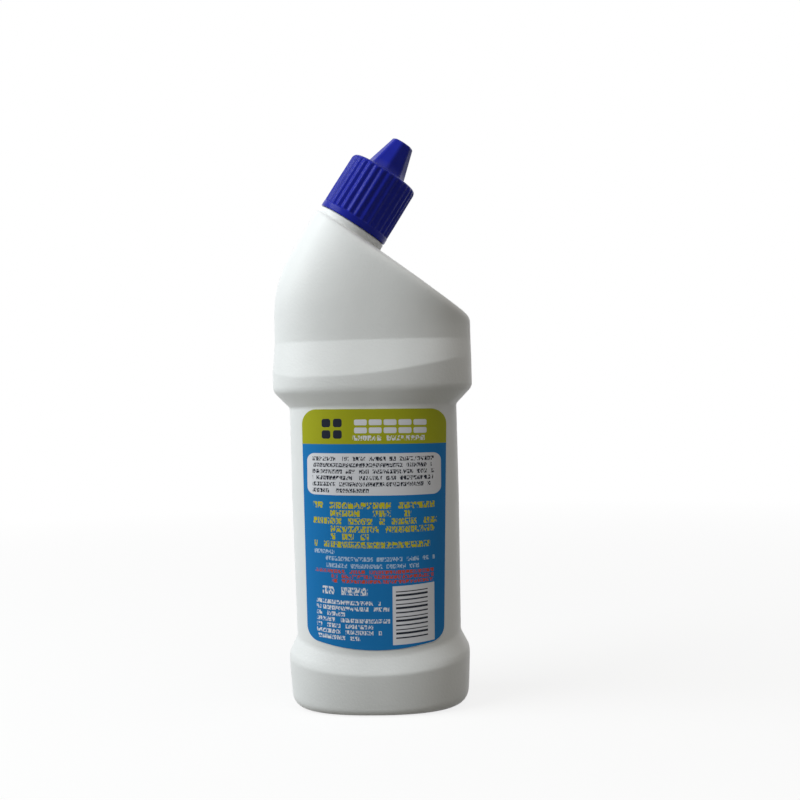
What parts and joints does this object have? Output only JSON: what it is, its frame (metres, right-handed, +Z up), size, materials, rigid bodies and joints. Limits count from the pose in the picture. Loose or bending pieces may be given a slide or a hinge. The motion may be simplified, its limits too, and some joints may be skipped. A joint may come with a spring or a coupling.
{
  "type": "toilet cleaner bottle",
  "caption": "Flat oval squeeze bottle for toilet cleaner, with a neck that leans to one side, a ribbed screw cap and a directional nozzle insert.",
  "frame": {"origin": "middle of the bottle's footprint, on the surface that it stands on", "axes": "+Z up; -Y and +Y are the two label panels; the neck leans towards +X"},
  "size_m": [0.083, 0.053, 0.2352],
  "materials": {
    "bottle": "white blown polyethylene with a fine orange-peel surface",
    "nozzle_insert": "natural white moulded polyethylene",
    "seal_ring": "white foamed polyethylene wad",
    "cap": "deep blue moulded polypropylene, satin gloss",
    "label": "printed film label, blue with a yellow-green header"
  },
  "bodies": {
    "bottle": {"bottle": "bottle", "nozzle_insert": "nozzle_insert", "back_label": "label", "front_label": "label"},
    "seal": {"seal_ring": "seal_ring"},
    "cap": {"cap": "cap"}
  },
  "joints": [
    {"name": "cap_lift", "type": "slide", "parent": "bottle", "child": "seal", "axis": [0.5563, 0, 0.831], "range_m": [0, 0.045]},
    {"name": "cap_turn", "type": "hinge", "parent": "seal", "child": "cap", "pos_m": [-0.00655, 0, 0.19928], "axis": [0.5563, 0, 0.831], "range_deg": [0, 540]}
  ]
}
